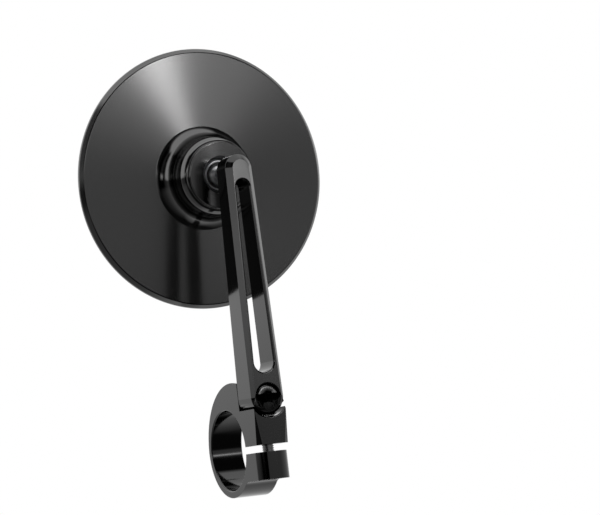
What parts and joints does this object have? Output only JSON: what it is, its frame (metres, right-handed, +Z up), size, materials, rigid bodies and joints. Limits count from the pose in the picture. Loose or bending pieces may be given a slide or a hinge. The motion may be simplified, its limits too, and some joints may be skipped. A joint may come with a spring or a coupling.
{
  "type": "motorcycle bar end mirror",
  "caption": "Round convex mirror on a ball joint, carried by a slotted tapered arm that pivots on a split clamp for the end of a handlebar.",
  "frame": {"origin": "centre of the clamp's bore, on the handlebar's axis", "axes": "+X along the handlebar, +Z up the arm, -Y the side of the clamp that carries the arm, with the glass facing +Y"},
  "size_m": [0.0735, 0.0335, 0.1275],
  "materials": {
    "black_anodised": "satin black anodised",
    "black_oxide_steel": "black oxide with oil",
    "plated_steel": "bright plated",
    "spring_steel": "plain rolled",
    "black_acetal": "moulded",
    "adhesive_foam": "double-sided foam",
    "silvered_glass": "silvered behind clear glass"
  },
  "bodies": {
    "clamp": {"clamp_body": "black_anodised", "clamp_screw": "black_oxide_steel", "pivot_screw": "black_oxide_steel", "friction_washer": "black_acetal"},
    "arm": {"arm": "black_anodised", "ball_stud": "plated_steel"},
    "liner": {"ball_liner": "black_acetal"},
    "cup": {"pressure_cup": "plated_steel"},
    "mirror": {"mirror_housing": "black_anodised", "seat_ring": "plated_steel", "front_seat": "black_acetal", "thrust_ring": "plated_steel", "disc_spring_front": "spring_steel", "disc_spring_rear": "spring_steel", "adjuster_plug": "plated_steel", "adhesive_pad": "adhesive_foam", "mirror_glass": "silvered_glass"}
  },
  "joints": [
    {"name": "arm_pivot", "type": "hinge", "parent": "clamp", "child": "arm", "pos_m": [0, -0.0106, 0.0134], "axis": [0, 1, 0], "range_deg": [-45, 45]},
    {"name": "mirror_pan", "type": "hinge", "parent": "arm", "child": "liner", "pos_m": [0, -0.0024, 0.0768], "axis": [0, 0, 1], "range_deg": [-16, 16]},
    {"name": "mirror_tilt", "type": "hinge", "parent": "liner", "child": "cup", "pos_m": [0, -0.0024, 0.0768], "axis": [1, 0, 0], "range_deg": [-16, 16]},
    {"name": "mirror_spin", "type": "hinge", "parent": "cup", "child": "mirror", "pos_m": [0, -0.0024, 0.0768], "axis": [-0.0383, -0.9973, -0.0628], "continuous": true}
  ]
}
